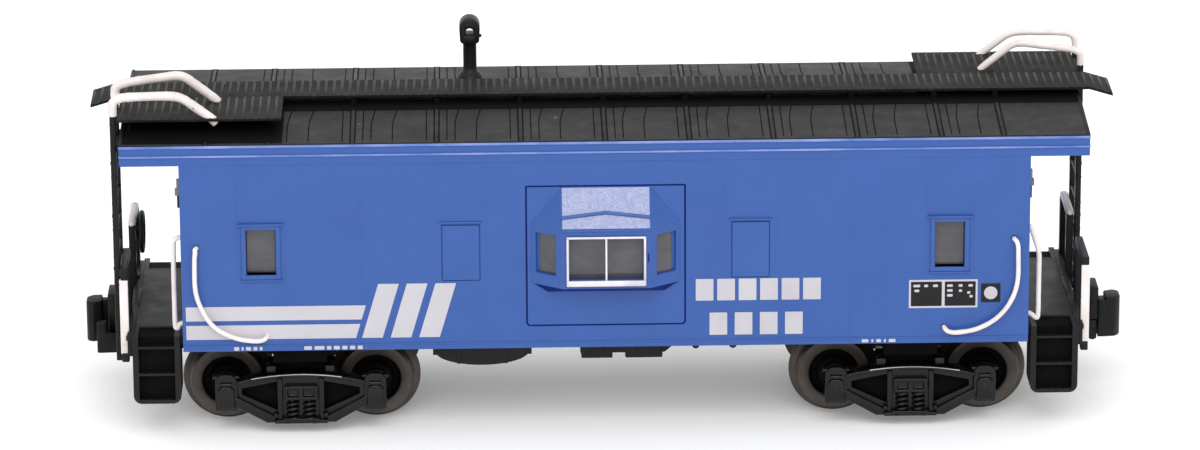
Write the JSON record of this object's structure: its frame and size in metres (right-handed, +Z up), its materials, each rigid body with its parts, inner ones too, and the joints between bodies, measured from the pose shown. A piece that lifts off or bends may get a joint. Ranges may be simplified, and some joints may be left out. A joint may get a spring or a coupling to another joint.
{
  "type": "model caboose",
  "caption": "Small-scale model bay-window caboose with a blue body, black roof with a roof walk, white grab irons, two swivelling trucks and knuckle couplers.",
  "frame": {"origin": "middle of the car, on the surface that the wheel flanges stand on", "axes": "+X along the car towards the right end, +Y across the car towards the far side, +Z up"},
  "size_m": [0.0536, 0.0162, 0.0193],
  "materials": {
    "body_blue": "satin",
    "roof_black": "matte",
    "detail_black": "satin",
    "smoked_glazing": "gloss",
    "silver_frame": "satin",
    "white_wire": "satin",
    "white_rail": "satin",
    "truck_black": "gloss",
    "coupler_black": "satin",
    "blackened_wheel": "satin",
    "bare_steel": "satin"
  },
  "bodies": {
    "car_body": {"body_shell": "body_blue", "bay_insert_near": "body_blue", "bay_insert_far": "body_blue", "roof": "roof_black", "running_board": "detail_black", "smokejack": "detail_black", "brake_wheel": "detail_black", "underframe": "detail_black", "kingpin_right": "detail_black", "kingpin_left": "detail_black", "end_ladder_right": "detail_black", "end_ladder_left": "detail_black", "bay_glazing_near": "smoked_glazing", "bay_glazing_far": "smoked_glazing", "side_glazing_near": "smoked_glazing", "side_glazing_far": "smoked_glazing", "door_glazing_right": "smoked_glazing", "door_glazing_left": "smoked_glazing", "bay_window_frame_near": "silver_frame", "bay_window_frame_far": "silver_frame", "corner_grab_near_a": "white_wire", "corner_grab_near_b": "white_wire", "corner_grab_far_a": "white_wire", "corner_grab_far_b": "white_wire", "roof_grab_rail_right_inner": "white_wire", "roof_grab_rail_right_outer": "white_wire", "end_handrail_right_a": "white_wire", "end_handrail_right_b": "white_wire", "end_railing_right_a": "white_rail", "end_railing_right_b": "white_rail", "coupler_lid_right": "coupler_black", "coupler_spring_right": "bare_steel", "roof_grab_rail_left_inner": "white_wire", "roof_grab_rail_left_outer": "white_wire", "end_handrail_left_a": "white_wire", "end_handrail_left_b": "white_wire", "end_railing_left_a": "white_rail", "end_railing_left_b": "white_rail", "coupler_lid_left": "coupler_black", "coupler_spring_left": "bare_steel", "weight": "bare_steel"},
    "truck_right": {"truck_frame_right": "truck_black"},
    "coupler_right": {"coupler_jaw_right": "coupler_black"},
    "knuckle_right": {"coupler_knuckle_right": "coupler_black"},
    "wheelset_right_outer": {"axle_right_outer": "bare_steel", "wheel_right_outer_far": "blackened_wheel", "wheel_right_outer_near": "blackened_wheel"},
    "wheelset_right_inner": {"axle_right_inner": "bare_steel", "wheel_right_inner_far": "blackened_wheel", "wheel_right_inner_near": "blackened_wheel"},
    "truck_left": {"truck_frame_left": "truck_black"},
    "coupler_left": {"coupler_jaw_left": "coupler_black"},
    "knuckle_left": {"coupler_knuckle_left": "coupler_black"},
    "wheelset_left_outer": {"axle_left_outer": "bare_steel", "wheel_left_outer_far": "blackened_wheel", "wheel_left_outer_near": "blackened_wheel"},
    "wheelset_left_inner": {"axle_left_inner": "bare_steel", "wheel_left_inner_far": "blackened_wheel", "wheel_left_inner_near": "blackened_wheel"}
  },
  "joints": [
    {"name": "truck_swivel_right", "type": "hinge", "parent": "car_body", "child": "truck_right", "pos_m": [0.0156, 0, 0.004], "axis": [0, 0, 1], "range_deg": [-8, 8]},
    {"name": "wheel_spin_right_outer", "type": "hinge", "parent": "truck_right", "child": "wheelset_right_outer", "pos_m": [0.01941, 0, 0.0023], "axis": [0, 1, 0], "continuous": true},
    {"name": "wheel_spin_right_inner", "type": "hinge", "parent": "truck_right", "child": "wheelset_right_inner", "pos_m": [0.01179, 0, 0.0023], "axis": [0, 1, 0], "continuous": true},
    {"name": "coupler_swing_right", "type": "hinge", "parent": "car_body", "child": "coupler_right", "pos_m": [0.0223, 0, 0.004], "axis": [0, 0, 1], "range_deg": [-10, 10], "stiffness_Nm_per_rad": 0.00001},
    {"name": "knuckle_open_right", "type": "hinge", "parent": "coupler_right", "child": "knuckle_right", "pos_m": [0.0223, 0, 0.0043], "axis": [0, 0, 1], "range_deg": [-8, 0], "stiffness_Nm_per_rad": 0.00002},
    {"name": "truck_swivel_left", "type": "hinge", "parent": "car_body", "child": "truck_left", "pos_m": [-0.0156, 0, 0.004], "axis": [0, 0, 1], "range_deg": [-8, 8]},
    {"name": "wheel_spin_left_outer", "type": "hinge", "parent": "truck_left", "child": "wheelset_left_outer", "pos_m": [-0.01941, 0, 0.0023], "axis": [0, 1, 0], "continuous": true},
    {"name": "wheel_spin_left_inner", "type": "hinge", "parent": "truck_left", "child": "wheelset_left_inner", "pos_m": [-0.01179, 0, 0.0023], "axis": [0, 1, 0], "continuous": true},
    {"name": "coupler_swing_left", "type": "hinge", "parent": "car_body", "child": "coupler_left", "pos_m": [-0.0223, 0, 0.004], "axis": [0, 0, 1], "range_deg": [-10, 10], "stiffness_Nm_per_rad": 0.00001},
    {"name": "knuckle_open_left", "type": "hinge", "parent": "coupler_left", "child": "knuckle_left", "pos_m": [-0.0223, 0, 0.0043], "axis": [0, 0, 1], "range_deg": [-8, 0], "stiffness_Nm_per_rad": 0.00002}
  ]
}
